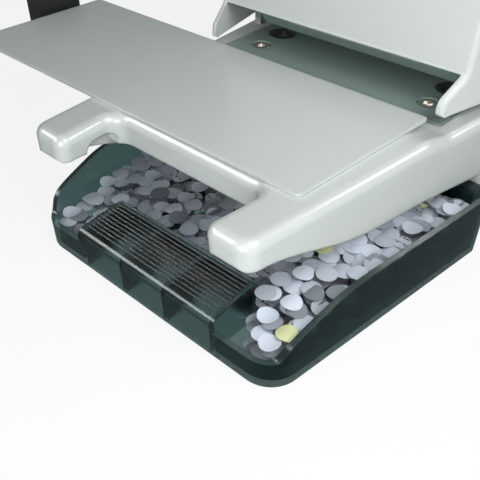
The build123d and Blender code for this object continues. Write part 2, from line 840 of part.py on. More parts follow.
def second_idler():
    small = meshing_gear(pinion_teeth, second_gear_start, second_idler_axis, first_idler_axis)
    large = spur_gear(second_wheel_teeth, gear_start, second_idler_axis,
                      direction(second_idler_axis, motor_axis))
    hub = rod_x(3.7, gear_start, gear_end, second_idler_axis)
    bore = rod_x(idler_shaft_radius + running_clearance, gear_start - 1, gear_end + 1,
                 second_idler_axis)
    return small + large + hub - bore


def idler_shafts():
    return [rod_x(idler_shaft_radius, frame_inner, gear_end + 1.4, axis)
            for axis in (first_idler_axis, second_idler_axis)]


def idler_clips():
    return [rod_x(idler_shaft_radius + 1.3, gear_end + 0.3, gear_end + 0.9, axis)
            - rod_x(idler_shaft_radius, gear_end, gear_end + 2, axis)
            for axis in (first_idler_axis, second_idler_axis)]


def motor_can():
    front = frame_inner
    can = rod_x(motor_radius, front - motor_length, front, motor_axis)
    can = chamfer(can.edges().filter_by(GeomType.CIRCLE), 1.2)
    can -= rod_x(2 + running_clearance, front - 20, front + 1, motor_axis)
    for angle in motor_screw_angles:
        can -= rod_x(1.5, front - 4, front + 1, step(motor_axis, 13, angle))
    return can


def motor_end_cap():
    rear = frame_inner - motor_length
    cap = rod_x(motor_radius - 1.5, rear - 4, rear, motor_axis)
    cap = chamfer(cap.edges().filter_by(GeomType.CIRCLE).sort_by(Axis.X)[0], 1)
    cap += rod_x(6, rear - 7, rear - 4, motor_axis)
    for side in (-1, 1):
        y = motor_axis[0] + side * 11
        cap += block((rear - 9, rear - 4), (y - 0.4, y + 0.4), (motor_axis[1] - 2, motor_axis[1] + 2))
    return cap


def motor_pinion():
    pinion = meshing_gear(motor_pinion_teeth, gear_start, motor_axis, second_idler_axis)
    return pinion + rod_x(2, frame_inner - 19, gear_start + gear_width + 0.4, motor_axis)


def motor_screws():
    return [side_screw(frame_outer, 1, step(motor_axis, 13, angle), 1.5, 6)
            for angle in motor_screw_angles]


# ---------------------------------------------------------------- paper path behind the dies
def upper_paper_guide():
    """Sheet that closes the mouth above the paper and leads it under the guide block."""
    slope = outline(
        (lip_y + 3.2, lip_z - 0.6), (lip_y + 3.2, lip_z + 6), (lip_y + 4.2, lip_z + 6),
        (lip_y + 4.2, lip_z), (guide_front, throat_top + 6.3), (guide_front, throat_top + 5.1),
    )
    sheet = across(slope, -frame_inner + 0.5, frame_inner - 0.5)
    tab = block((-30, 30), (guide_front - 1, guide_front), (throat_top + 5.2, guide_top))
    return sheet + tab


lever_half = 1.2
lever_pivot = (back_stop_y + 6.5, die_top + 20)
lever_pin_radius = 1.5
lever_pocket_depth = 2.2       # the lever's tip sweeps a little below the throat's floor


def back_stop():
    """Angle that the paper's edge meets, slotted for the sensor lever."""
    side = outline(
        (back_stop_y, die_top), (back_stop_y + 9, die_top), (back_stop_y + 9, die_top + 1.5),
        (back_stop_y + 1.5, die_top + 1.5), (back_stop_y + 1.5, die_top + 9),
        (back_stop_y, die_top + 9),
    )
    angle = across(side, -frame_inner + 0.5, frame_inner - 0.5)
    angle -= block((-lever_half - 1, lever_half + 1), (back_stop_y - 1, back_stop_y + 7.5),
                   (die_top - 1, die_top + 12))
    for x in back_stop_screw_x:
        angle -= post(1.7, x, back_stop_y + 5.5, die_top - 1, die_top + 3)
    return angle


def back_stop_screws():
    return [pan_screw(1.5, x, back_stop_y + 5.5, die_top + 1.5, 4.5)
            for x in back_stop_screw_x]


def sensor_lever():
    """Trigger that the paper's edge pushes back."""
    y, z = lever_pivot
    arm = outline(
        (y - 8.6, die_top + 0.5, 0.5), (y - 7.0, die_top + 0.5, 0.5), (y - 5.6, z - 11),
        (y + 3, z - 3, 2), (y + 4.6, z + 9, 1), (y + 1, z + 9, 1), (y - 3, z - 3, 2),
        (y - 8.6, z - 12),
    )
    lever = across(arm, -lever_half, lever_half)
    lever += rod_x(3, -lever_half - 1, lever_half + 1, lever_pivot)
    return lever - rod_x(lever_pin_radius + running_clearance, -10, 10, lever_pivot)


def lever_pin():
    return rod_x(lever_pin_radius, -6.5, 6.5, lever_pivot)


def sensor_bracket():
    """Folded bracket behind the back stop: two cheeks for the lever's pin."""
    y, z = lever_pivot
    foot_y = (back_stop_y + 9.2, back_stop_y + 19)
    foot = block((-6, 6), foot_y, (die_top, die_top + 1.5))
    cheek = outline(
        (foot_y[0], die_top), (foot_y[1], die_top), (foot_y[1], die_top + 6, 2),
        (y + 4, z + 1, 2), (y + 3, z + 4, 2), (y - 3, z + 4, 3), (y - 3, z - 5),
        (foot_y[0], die_top + 10),
    )
    bracket = foot
    for side in (-1, 1):
        left, right = sorted((side * 4.5, side * 6))
        bracket += across(cheek, left, right)
    bracket += block((-6, 6), (y + 3.6, y + 5), (die_top + 1, die_top + 12))
    return bracket - rod_x(lever_pin_radius, -10, 10, lever_pivot)


def microswitch():
    """Switch held above the bracket on its own two legs."""
    y, z = lever_pivot
    low = z + 5.2
    body = block((-10, 10), (y + 5.6, y + 11.6), (low, low + 10))
    body += block((-8, -6), (y + 6.6, y + 10), (die_top, low))
    body += block((6.2, 8), (y + 6.6, y + 10), (die_top, low))
    return body + block((-1, 1), (y + 5.0, y + 5.6), (low + 0.8, low + 2.8))


# ---------------------------------------------------------------- electrics
def circuit_board():
    """Board on four pillars behind the back stop, with its larger parts."""
    low = die_top + 5
    thickness = 1.6
    front = 158.0
    depth = rear_y - 29 - front
    top = low + thickness
    board = block((-42, 12), (front, front + depth), (low, top))
    for x in (-38, 8):
        for y in (front + 4, front + depth - 4):
            board += post(2.5, x, y, die_top, low)
    board += block((-40, -27), (front + 0.2 * depth, front + 0.7 * depth), (top, top + 15.4))
    board += post(3.5, -22.5, front + 0.8 * depth, top, top + 12.4)
    return board + block((-8, 4), (front + 0.75 * depth, front + 0.92 * depth), (top, top + 3.4))


def transformer():
    """Laminated core round a wound coil that stands out at both ends."""
    front = tray_depth + 11
    rear = rear_y - 37
    core = block((-38, 2), (front, rear), (leg_bottom, 32))
    coil = block((-30, -6), (front - 3, rear + 3), (leg_bottom + 4, 28))
    return core + fillet(coil.edges().filter_by(Axis.Z), 3)


def power_inlet():
    depth = 22.0
    body = block((inlet_x - inlet_half_w, inlet_x + inlet_half_w), (rear_y - depth, rear_y),
                 (inlet_z - inlet_half_h, inlet_z + inlet_half_h))
    flange = outline(
        (inlet_x - inlet_half_w - 2, inlet_z - inlet_half_h - 2, 3),
        (inlet_x + inlet_half_w + 2, inlet_z - inlet_half_h - 2, 3),
        (inlet_x + inlet_half_w + 2, inlet_z + inlet_half_h + 2, 3),
        (inlet_x - inlet_half_w - 2, inlet_z + inlet_half_h + 2, 3),
    )
    body += Pos(0, rear_y + 2, 0) * extrude(Plane.XZ * flange, amount=2)
    recess = outline(
        (inlet_x - 12.2, inlet_z - 8.2, 1), (inlet_x + 12.2, inlet_z - 8.2, 1),
        (inlet_x + 12.2, inlet_z + 3.0), (inlet_x + 7.0, inlet_z + 8.2),
        (inlet_x - 7.0, inlet_z + 8.2), (inlet_x - 12.2, inlet_z + 3.0),
    )
    body -= Pos(0, rear_y + 3, 0) * extrude(Plane.XZ * recess, amount=19)
    for dx, dz in ((-7, -3), (0, 2), (7, -3)):
        body += block((inlet_x + dx - 1, inlet_x + dx + 1), (rear_y - 16.5, rear_y - 5),
                      (inlet_z + dz - 2, inlet_z + dz + 2))
    return body


def switch_housing():
    body = block((switch_x - switch_half_w, switch_x + switch_half_w), (rear_y - 16, rear_y),
                 (switch_z - switch_half_h, switch_z + switch_half_h))
    flange = block((switch_x - switch_half_w - 1.4, switch_x + switch_half_w + 1.4),
                   (rear_y, rear_y + 1.6),
                   (switch_z - switch_half_h - 1.4, switch_z + switch_half_h + 1.4))
    flange = chamfer(flange.edges().filter_by(Axis.Y), 1.5)
    room = block((switch_x - rocker_half_w - gap, switch_x + rocker_half_w + gap),
                 (rear_y - 8, rear_y + 3),
                 (switch_z - rocker_half_h - gap, switch_z + rocker_half_h + gap))
    return body + flange - room


rocker_half_w = 7.6
rocker_half_h = 4.8
rocker_angle = 9.0


def power_rocker():
    """Two sloping faces that meet over the pivot along Z."""
    pivot_y = rear_y - 3
    lift = rocker_half_w * tan(radians(rocker_angle))
    top = make_face(Polyline(
        (switch_x - rocker_half_w, pivot_y - 1.5), (switch_x, pivot_y - 3.5),
        (switch_x + rocker_half_w, pivot_y - 1.5),
        (switch_x + rocker_half_w, pivot_y + 3.2 + lift),
        (switch_x, pivot_y + 3.2), (switch_x - rocker_half_w, pivot_y + 3.2 + lift), close=True))
    body = upright(top, switch_z - rocker_half_h, switch_z + rocker_half_h)
    body &= post(rocker_half_w - 0.1, switch_x, pivot_y, 0, 60)
    pivot = Pos(switch_x, pivot_y, 0)
    return pivot * Rot(0, 0, -rocker_angle) * Pos(-switch_x, -pivot_y, 0) * body


# ---------------------------------------------------------------- head cover and controls
button_x = 32.0
button_y = 156.0
button_radius = 6.0
button_travel = 1.5
lens_x = 14.0


def head_plan(inset=0.0):
    front = toe_y - 12
    return mirrored_outline(
        (head_side(front) - inset, front), (head_side(flare_end) - inset, flare_end),
        (head_side(flare_end) - inset, head_rear - inset),
    )


def roof_corners(inset=0.0):
    """Side outline of the head's front and roof, from the lip to the rear, set in by a wall."""
    rear = head_rear + 8
    return [
        (lip_y + inset, lip_z, max(3 - inset, 0)), (brow_y + inset, brow_z),
        (brow_y + brow_depth + 0.3 * inset, head_top - inset, 12), (roof_y, head_top - inset, 40),
        (rear, head_top - inset - roof_fall * (rear - roof_y)),
    ]


def head_form(side_face, inset=0.0):
    """Head as one solid: leaning sides, rounded rear corners and roof edges."""
    form = upright(head_plan(inset), 40, head_top + 10, taper=head_draft)
    form &= across(side_face, -100, 100)
    form = fillet(steep_edges(form, head_rear - 5, head_rear + 5, 100), head_corner_radius - inset)
    return fillet(top_outline(form, lip_z + 20), head_roof_radius - inset)


def head_outside(toe=0.0):
    """Side outline of the head, its toes rounded by the given radius."""
    low = die_top + head_seam
    return outline(
        (toe_y, throat_top - 0.6, toe), (toe_y + 0.5, 60.0, 4), *roof_corners(),
        (head_rear + 8, low), (flare_end + 0.6, low, 0.6), (flare_end + 0.6, throat_top),
        (toe_y + 4, throat_top),
    )


def head_room():
    """Inside of the head, open downwards, and the mouth between the cheeks."""
    inside = outline((lip_y + head_wall, 40), *roof_corners(head_wall), (head_rear + 8, 40))
    mouth = upright(head_plan(head_wall), 40, lip_z + 0.2, taper=head_draft)
    mouth &= block((-100, 100), (0, lip_y + 2 * head_wall), (40, lip_z + 0.2))
    return head_form(inside, head_wall) + mouth


def cheek_edges(shell):
    """Outer front edges of the cheeks, from the toes up to the brow."""
    sides = [face for face in shell.faces() if abs(face.normal_at(None).X) > 0.9
             and abs(face.center().X) > head_side(toe_y) - 2]
    fronts = [face for face in shell.faces() if face.normal_at(None).Y < -0.5
              and abs(face.normal_at(None).X) < 0.01 and face.center().Y < brow_y + 2]
    front_edges = [edge for face in fronts for edge in face.edges()]
    return [edge for face in sides for edge in face.edges() if edge in front_edges]


def head_cover():
    shell = head_form(head_outside())
    shell = fillet(cheek_edges(shell), cheek_radius) & across(head_outside(toe_radius), -100, 100)
    shell -= head_room()
    for x, y in cover_screw_places():
        boss = post(3.4, x, y, die_top, die_top + 12)
        web = block(sorted((x, x + (4.5 if x > 0 else -4.5))), (y - 1, y + 1),
                    (die_top + head_seam, die_top + 12))
        shell += boss + (web & upright(head_plan(0.5), die_top, 80))
        shell -= post(1.5, x, y, die_top - 1, die_top + 10)
    shell -= post(button_radius + gap, button_x, button_y, head_top - 10, head_top + 5)
    shell -= post(2.6, lens_x, button_y, head_top - 10, head_top + 5)
    return shell


def cover_screws():
    head = 0.9 * 1.5
    return [pan_screw(1.5, x, y, die_top - base_skin - head, 10, down=False)
            for x, y in cover_screw_places()]


def reverse_button():
    under = head_top - head_wall
    cap = post(button_radius, button_x, button_y, under - 1.6, head_top + 2.0)
    cap = fillet(cap.edges().sort_by(Axis.Z)[-1], 1.2)
    cap += post(button_radius + 1.6, button_x, button_y, under - 1.6, under - 0.2)
    return cap + post(1.5, button_x, button_y, under - 3.4, under - 1.6)


def button_board():
    """Small board under the cover's top, on two pillars, with the push switch."""
    under = head_top - head_wall
    switch_top = under - 3.4 - button_travel - 0.2
    low = switch_top - 3.5 - 1.6
    board = block((lens_x - 5, button_x + 10), (button_y - 7, button_y + 7), (low, low + 1.6))
    board += block((button_x - 3, button_x + 3), (button_y - 3, button_y + 3),
                   (low + 1.6, switch_top))
    for x, y in ((lens_x + 6, button_y + 5), (button_x + 8.5, button_y - 5.5)):
        board += post(1.4, x, y, low, under)
    board += post(2.0, lens_x, button_y, low + 1.6, under - 1.0)
    return board


def indicator_lens():
    body = post(2.6, lens_x, button_y, head_top - head_wall - 1.0, head_top + 0.8)
    return fillet(body.edges().sort_by(Axis.Z)[-1], 0.7)


# ---------------------------------------------------------------- all pieces
def all_pieces():
    return {
        "base_casting": base_casting(),
        "bottom_plate": bottom_plate(),
        "bottom_plate_screws": bottom_plate_screws(),
        "rubber_feet": rubber_feet(),
        "paper_table": paper_table(),
        "table_nuts": table_nuts(),
        "guide_channel": guide_channel(),
        "guide_rule": guide_rule(),
        "guide_stop": guide_stop(),
        "chip_tray": chip_tray(),
        "die_plate": die_plate(),
        "die_plate_screws": die_plate_screws(),
        "die_bushes": die_bushes(),
        "guide_block": guide_block(),
        "guide_columns": guide_columns(),
        "crosshead": crosshead(),
        "punch_pins": punch_pins(),
        "pin_screws": pin_screws(),
        "yoke_left": yoke(-1),
        "yoke_right": yoke(1),
        "eccentric_left": eccentric(-1),
        "eccentric_right": eccentric(1),
        "camshaft": camshaft(),
        "cam_bearings": cam_bearings(),
        "cam_gear": cam_gear(),
        "side_frame_left": side_frame(-1),
        "side_frame_right": side_frame(1),
        "tie_bars": tie_bars(),
        "frame_screws": frame_screws(),
        "first_idler": first_idler(),
        "second_idler": second_idler(),
        "idler_shafts": idler_shafts(),
        "idler_clips": idler_clips(),
        "motor_can": motor_can(),
        "motor_end_cap": motor_end_cap(),
        "motor_pinion": motor_pinion(),
        "motor_screws": motor_screws(),
        "upper_paper_guide": upper_paper_guide(),
        "back_stop": back_stop(),
        "back_stop_screws": back_stop_screws(),
        "sensor_lever": sensor_lever(),
        "lever_pin": lever_pin(),
        "sensor_bracket": sensor_bracket(),
        "microswitch": microswitch(),
        "circuit_board": circuit_board(),
        "transformer": transformer(),
        "power_inlet": power_inlet(),
        "switch_housing": switch_housing(),
        "power_rocker": power_rocker(),
        "head_cover": head_cover(),
        "cover_screws": cover_screws(),
        "reverse_button": reverse_button(),
        "button_board": button_board(),
        "indicator_lens": indicator_lens(),
    }


def as_compound(shape):
    """One compound per node, whether it is one solid or several."""
    if isinstance(shape, list):
        return Compound([solid for item in shape for solid in item.solids()])
    return Compound(list(shape.solids()))


pieces = {name: as_compound(shape) for name, shape in all_pieces().items()}
bounds = Compound(list(pieces.values())).bounding_box()
to_origin = Pos(-(bounds.min.X + bounds.max.X) / 2, -(bounds.min.Y + bounds.max.Y) / 2,
                -bounds.min.Z)

os.makedirs("parts", exist_ok=True)
for name, piece in pieces.items():
    export_step(to_origin * piece, f"parts/{name}.step")

print("moved by", to_origin.position)
print("cam axis", cam_axis, "idlers", first_idler_axis, second_idler_axis, "motor", motor_axis)
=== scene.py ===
import json
import math
import random
from collections import namedtuple

import bpy
import numpy as np
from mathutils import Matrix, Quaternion, Vector


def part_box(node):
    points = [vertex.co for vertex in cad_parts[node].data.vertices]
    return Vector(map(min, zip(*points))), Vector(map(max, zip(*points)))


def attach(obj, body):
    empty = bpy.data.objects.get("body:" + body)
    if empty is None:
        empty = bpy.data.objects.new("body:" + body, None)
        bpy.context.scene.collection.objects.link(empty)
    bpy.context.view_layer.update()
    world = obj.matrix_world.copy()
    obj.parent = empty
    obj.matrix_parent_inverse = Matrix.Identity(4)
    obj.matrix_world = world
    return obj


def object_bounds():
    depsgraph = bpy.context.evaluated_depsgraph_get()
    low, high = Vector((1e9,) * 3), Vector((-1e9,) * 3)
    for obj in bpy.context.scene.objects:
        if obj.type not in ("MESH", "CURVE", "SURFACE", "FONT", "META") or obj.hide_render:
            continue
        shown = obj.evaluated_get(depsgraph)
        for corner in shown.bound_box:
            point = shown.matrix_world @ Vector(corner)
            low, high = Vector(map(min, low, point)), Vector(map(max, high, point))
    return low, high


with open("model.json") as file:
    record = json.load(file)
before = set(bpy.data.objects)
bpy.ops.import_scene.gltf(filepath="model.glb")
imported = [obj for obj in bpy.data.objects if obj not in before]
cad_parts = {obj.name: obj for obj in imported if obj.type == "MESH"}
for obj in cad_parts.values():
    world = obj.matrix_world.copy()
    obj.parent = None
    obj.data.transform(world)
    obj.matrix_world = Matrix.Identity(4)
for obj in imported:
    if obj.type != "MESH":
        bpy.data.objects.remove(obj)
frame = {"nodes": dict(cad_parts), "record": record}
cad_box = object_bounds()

# An electric hole punch on a desk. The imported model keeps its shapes; this script gives it
# finishes, fills its tray with paper chips and sets up the light and the camera. Metres.
# "Machine" coordinates: X right from the machine's middle, Y back from the tray's front edge,
# Z up from the desk.

MM = 0.001
tray_low, tray_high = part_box("chip_tray")
GRIP_OVERHANG = 0.477 * MM           # the grip's brow stands this far in front of y = 0
ORIGIN = Vector(((tray_low.x + tray_high.x) / 2, tray_low.y + GRIP_OVERHANG, tray_low.z))
DESK_Z = cad_box[0].z


def place(x, y, z):
    """Machine coordinates in millimetres to a point of the frame in metres."""
    return ORIGIN + Vector((x, y, z)) * MM


# ------------------------------------------------------------------ node helpers
def new_group(name, inputs, outputs):
    """Shader node group with the given sockets; returns the group and its two end nodes."""
    group = bpy.data.node_groups.new(name, "ShaderNodeTree")
    for socket_name, kind, value in inputs:
        socket = group.interface.new_socket(socket_name, in_out="INPUT", socket_type=kind)
        socket.default_value = value
    for socket_name, kind in outputs:
        group.interface.new_socket(socket_name, in_out="OUTPUT", socket_type=kind)
    return group, group.nodes.new("NodeGroupInput"), group.nodes.new("NodeGroupOutput")


def add(tree, kind, **settings):
    """New node; settings whose names are not the node's own are input values by socket name."""
    node = tree.nodes.new(kind)
    for name, value in settings.items():
        if hasattr(node, name):
            setattr(node, name, value)
        else:
            node.inputs[name.replace("_", " ")].default_value = value
    return node


def feed(tree, node, values):
    """Link or set inputs by their index; each value is a socket or a plain value."""
    for index, value in values.items():
        if isinstance(value, bpy.types.NodeSocket):
            tree.links.new(value, node.inputs[index])
        else:
            node.inputs[index].default_value = value


def blend_colours(tree, factor, first, second):
    """Mix of two colours; each argument is a socket or a value."""
    node = tree.nodes.new("ShaderNodeMix")
    node.data_type = "RGBA"
    feed(tree, node, {0: factor, 6: first, 7: second})
    return node.outputs[2]


def arithmetic(tree, operation, *values):
    """Result of one maths node; each value is a socket or a number."""
    node = tree.nodes.new("ShaderNodeMath")
    node.operation = operation
    feed(tree, node, dict(enumerate(values)))
    return node.outputs[0]


# ------------------------------------------------------------------ shared surface effects
NOISE_MEAN = 0.5                     # a noise node's values lie round this one
DUST_COLOUR = (0.62, 0.62, 0.60, 1)
SCRATCH_COLOUR = (0.12, 0.12, 0.13, 1)
SCRATCH_DARKENING = 0.25             # share of the scratch colour along a full scratch
SCRATCH_ROUGHENING = 0.16            # roughness that a full scratch adds


def make_skin_group():
    """Uneven tone and gloss, dust, fine relief and rounded edges of a painted or moulded skin."""
    group, start, end = new_group(
        "skin",
        [("Colour", "NodeSocketColor", (0.8, 0.8, 0.8, 1)),
         ("Tone spread", "NodeSocketFloat", 0.03),
         ("Roughness", "NodeSocketFloat", 0.35),
         ("Gloss spread", "NodeSocketFloat", 0.06),
         ("Grain per metre", "NodeSocketFloat", 2500.0),
         ("Grain height", "NodeSocketFloat", 0.02),
         ("Dust", "NodeSocketFloat", 0.0),
         ("Edge radius", "NodeSocketFloat", 0.0005)],
        [("Colour", "NodeSocketColor"),
         ("Roughness", "NodeSocketFloat"),
         ("Normal", "NodeSocketVector")],
    )
    link = group.links.new
    where = group.nodes.new("ShaderNodeTexCoord").outputs["Object"]

    broad = add(group, "ShaderNodeTexNoise", Scale=28.0, Detail=3.0, Roughness=0.55)
    link(where, broad.inputs["Vector"])
    centred = arithmetic(group, "SUBTRACT", broad.outputs["Fac"], NOISE_MEAN)
    tone = arithmetic(group, "MULTIPLY", centred, start.outputs["Tone spread"])
    lightness = arithmetic(group, "ADD", tone, 1.0)
    shaded = add(group, "ShaderNodeHueSaturation")
    link(start.outputs["Colour"], shaded.inputs["Color"])
    link(lightness, shaded.inputs["Value"])

    smears = add(group, "ShaderNodeTexNoise", Scale=85.0, Detail=4.0, Roughness=0.6)
    link(where, smears.inputs["Vector"])
    smear = arithmetic(group, "SUBTRACT", smears.outputs["Fac"], NOISE_MEAN)
    gloss = arithmetic(group, "MULTIPLY", smear, start.outputs["Gloss spread"])
    rough = arithmetic(group, "ADD", gloss, start.outputs["Roughness"])

    facing = group.nodes.new("ShaderNodeNewGeometry")
    split = group.nodes.new("ShaderNodeSeparateXYZ")
    link(facing.outputs["Normal"], split.inputs[0])
    upward = add(group, "ShaderNodeMapRange", From_Min=0.6, From_Max=1.0)
    link(split.outputs["Z"], upward.inputs["Value"])
    settled = arithmetic(group, "MULTIPLY", upward.outputs["Result"], start.outputs["Dust"])
    speck = add(group, "ShaderNodeTexNoise", Scale=900.0, Detail=2.0)
    link(where, speck.inputs["Vector"])
    dust = arithmetic(group, "MULTIPLY", settled, speck.outputs["Fac"])
    dusty = blend_colours(group, dust, shaded.outputs["Color"], DUST_COLOUR)

    grain = add(group, "ShaderNodeTexNoise", Detail=1.0)
    link(where, grain.inputs["Vector"])
    link(start.outputs["Grain per metre"], grain.inputs["Scale"])
    edges = add(group, "ShaderNodeBevel", samples=6)
    link(start.outputs["Edge radius"], edges.inputs["Radius"])
    relief = add(group, "ShaderNodeBump", Distance=0.0002)
    link(edges.outputs["Normal"], relief.inputs["Normal"])
    link(grain.outputs["Fac"], relief.inputs["Height"])
    link(start.outputs["Grain height"], relief.inputs["Strength"])

    link(dusty, end.inputs["Colour"])
    link(rough, end.inputs["Roughness"])
    link(relief.outputs["Normal"], end.inputs["Normal"])
    return group


def make_brushed_group():
    """Fine scratches along one direction, in colour, roughness and relief."""
    group, start, end = new_group(
        "brushed",
        [("Colour", "NodeSocketColor", (0.6, 0.6, 0.6, 1)),
         ("Roughness", "NodeSocketFloat", 0.3),
         ("Stretch", "NodeSocketVector", (60.0, 3000.0, 3000.0)),
         ("Scratch depth", "NodeSocketFloat", 0.1),
         ("Stain", "NodeSocketFloat", 0.15)],
        [("Colour", "NodeSocketColor"),
         ("Roughness", "NodeSocketFloat"),
         ("Normal", "NodeSocketVector")],
    )
    link = group.links.new
    where = group.nodes.new("ShaderNodeTexCoord").outputs["Object"]
    stretched = group.nodes.new("ShaderNodeVectorMath")
    stretched.operation = "MULTIPLY"
    link(where, stretched.inputs[0])
    link(start.outputs["Stretch"], stretched.inputs[1])
    lines = add(group, "ShaderNodeTexNoise", Scale=1.0, Detail=4.0, Roughness=0.6)
    link(stretched.outputs[0], lines.inputs["Vector"])
    stains = add(group, "ShaderNodeTexNoise", Scale=140.0, Detail=3.0)
    link(where, stains.inputs["Vector"])

    fine = arithmetic(group, "MULTIPLY", lines.outputs["Fac"], SCRATCH_DARKENING)
    stain = arithmetic(group, "MULTIPLY", stains.outputs["Fac"], start.outputs["Stain"])
    darker = arithmetic(group, "ADD", fine, stain)
    tinted = blend_colours(group, darker, start.outputs["Colour"], SCRATCH_COLOUR)
    wander = arithmetic(group, "MULTIPLY", lines.outputs["Fac"], SCRATCH_ROUGHENING)
    rough = arithmetic(group, "ADD", start.outputs["Roughness"], wander)
    relief = add(group, "ShaderNodeBump", Distance=0.0001)
    link(lines.outputs["Fac"], relief.inputs["Height"])
    link(start.outputs["Scratch depth"], relief.inputs["Strength"])
    link(tinted, end.inputs["Colour"])
    link(rough, end.inputs["Roughness"])
    link(relief.outputs["Normal"], end.inputs["Normal"])
    return group


SKIN = make_skin_group()
BRUSHED = make_brushed_group()
SHADER_INPUTS = {"Colour": "Base Color", "Roughness": "Roughness", "Normal": "Normal"}
COAT_ROUGHNESS = 0.20
ACRYLIC_IOR = 1.49


def surface(name, group, shader, **effect):
    """Material with its varying values from a shared group and its plain ones on the shader."""
    material = bpy.data.materials.new(name)
    material.use_nodes = True
    tree = material.node_tree
    tree.nodes.clear()
    output = tree.nodes.new("ShaderNodeOutputMaterial")
    principled = tree.nodes.new("ShaderNodeBsdfPrincipled")
    for socket_name, value in shader.items():
        principled.inputs[socket_name].default_value = value
    effects = tree.nodes.new("ShaderNodeGroup")
    effects.node_tree = group
    for socket_name, value in effect.items():
        effects.inputs[socket_name.replace("_", " ")].default_value = value
    for result in effects.outputs:
        tree.links.new(result, principled.inputs[SHADER_INPUTS[result.name]])
    tree.links.new(principled.outputs["BSDF"], output.inputs["Surface"])
    return material


def paint(name, colour, roughness, coat=0.0, **effect):
    """Paint or moulded plastic, with a clear coat where coat is above 0."""
    shader = {"Coat Weight": coat, "Coat Roughness": COAT_ROUGHNESS}
    return surface(name, SKIN, shader, Colour=(*colour, 1), Roughness=roughness, **effect)


def metal(name, colour, roughness, **effect):
    """Bare or plated metal with fine scratches."""
    return surface(name, BRUSHED, {"Metallic": 1.0},
                   Colour=(*colour, 1), Roughness=roughness, **effect)


def tinted_plastic(name, tint, roughness):
    """Clear tinted plastic: light passes its walls and comes out coloured."""
    shader = {"Transmission Weight": 1.0, "IOR": ACRYLIC_IOR, "Specular IOR Level": 0.5}
    material = surface(name, SKIN, shader, Colour=(*tint, 1), Roughness=roughness,
                       Tone_spread=0.05, Gloss_spread=0.02, Grain_height=0.0, Edge_radius=0.0)
    tree = material.node_tree
    principled = next(n for n in tree.nodes if n.type == "BSDF_PRINCIPLED")
    output = next(n for n in tree.nodes if n.type == "OUTPUT_MATERIAL")
    through = add(tree, "ShaderNodeBsdfTransparent")
    through.inputs["Color"].default_value = (*[math.sqrt(part) for part in tint], 1)
    ray = tree.nodes.new("ShaderNodeLightPath")
    mix = tree.nodes.new("ShaderNodeMixShader")
    tree.links.new(ray.outputs["Is Shadow Ray"], mix.inputs["Fac"])
    tree.links.new(principled.outputs["BSDF"], mix.inputs[1])
    tree.links.new(through.outputs["BSDF"], mix.inputs[2])
    tree.links.new(mix.outputs["Shader"], output.inputs["Surface"])
    return material


FINISHES = {
    "casting": paint("casting paint", (0.60, 0.64, 0.615), 0.30, coat=1.0,
                     Tone_spread=0.04, Grain_per_metre=420.0, Grain_height=0.05, Dust=0.04,
                     Edge_radius=0.0014),
    "table_sheet": paint("table paint", (0.60, 0.635, 0.625), 0.34, coat=0.25,
                         Tone_spread=0.03, Grain_per_metre=900.0, Grain_height=0.03, Dust=0.03,
                         Edge_radius=0.0011),
    "cover": paint("cover plastic", (0.62, 0.655, 0.64), 0.36, coat=0.1, Tone_spread=0.03,
                   Grain_per_metre=2200.0, Grain_height=0.05, Dust=0.05),
    "smoked": tinted_plastic("smoked plastic", (0.052, 0.096, 0.095), 0.20),
    "rubber": paint("foot rubber", (0.02, 0.02, 0.02), 0.8, Grain_height=0.3),
    "zinc_sheet": metal("zinc plated sheet", (0.62, 0.63, 0.64), 0.32, Stain=0.3),
    "steel": metal("ground steel", (0.62, 0.62, 0.63), 0.18, Scratch_depth=0.15),
    "die_steel": paint("enamelled die steel", (0.27, 0.355, 0.325), 0.38, coat=0.3,
                       Tone_spread=0.05, Grain_per_metre=700.0, Grain_height=0.05),
    "screw_steel": metal("screw steel", (0.95, 0.91, 0.85), 0.24,
                         Scratch_depth=0.05, Stain=0.05),
    "iron": metal("laminated iron", (0.10, 0.10, 0.11), 0.5, Stretch=(3000.0, 60.0, 3000.0)),
    "brass": metal("machined brass", (0.78, 0.60, 0.28), 0.22, Stain=0.1),
    "gear_plastic": paint("gear plastic", (0.80, 0.78, 0.71), 0.42, Grain_height=0.1),
    "dark_plastic": paint("dark plastic", (0.016, 0.017, 0.019), 0.42, Grain_height=0.2),
    "button_grey": paint("button plastic", (0.10, 0.12, 0.13), 0.3, coat=0.2),
    "board": paint("board lacquer", (0.008, 0.09, 0.035), 0.3, coat=0.4, Tone_spread=0.3),
    "lens": tinted_plastic("lens plastic", (0.12, 0.62, 0.22), 0.08),
}

for part in frame["record"]["subparts"]:
    node = frame["nodes"][part["node"]]
    node.data.materials.clear()
    node.data.materials.append(FINISHES[part["material_slot"]])


# ------------------------------------------------------------------ paper chips
# Lengths of this section are millimetres, in machine coordinates.
CHIP_SEED = 11
CHIP_RADIUS = 3.5
CHIP_REACH = 3.2                         # a tilted chip needs a little less room than its radius
CHIP_THICKNESS = 0.10
CHIP_CURLS = (6.5, 10.0, -8.0, 25.0)     # bending radius of each variant; negative: rims curl up
CHIP_TRIES = 16000
CHIP_TILT = 0.7                          # usual slope of a chip against the pile under it
CHIP_STEEPEST = 2.2                      # no slope along X or Y exceeds this
CHIP_REST = 0.82                         # share of a chip's cells that stay clear of the pile
RASTER = 0.5                             # cell of the height map that the chips land on
MAP_HALF = 80.0                          # the height map covers x from -80 to 80
MAP_DEPTH = 150.0                        # and y from 0 to 150
DROP_HALF = 66.0                         # chips fall between these lines across the tray
DROP_FRONT = 3.0
DROP_REAR = 138.0
TRAY_FLOOR = 2.0
TRAY_INNER_HALF = 54.5                   # half width of the tray's inside on the line y = 0
TRAY_FLARE = 0.12
TRAY_INNER_CORNER = 9.0
TRAY_WIDE_END = 105.8
TRAY_NARROW_HALF = 48.3
TRAY_INNER_END = 138.8
GRIP_HALF = 33.0
GRIP_DEPTH = 21.2
PILE_LEFT = 9.5                          # height of the pile on the left
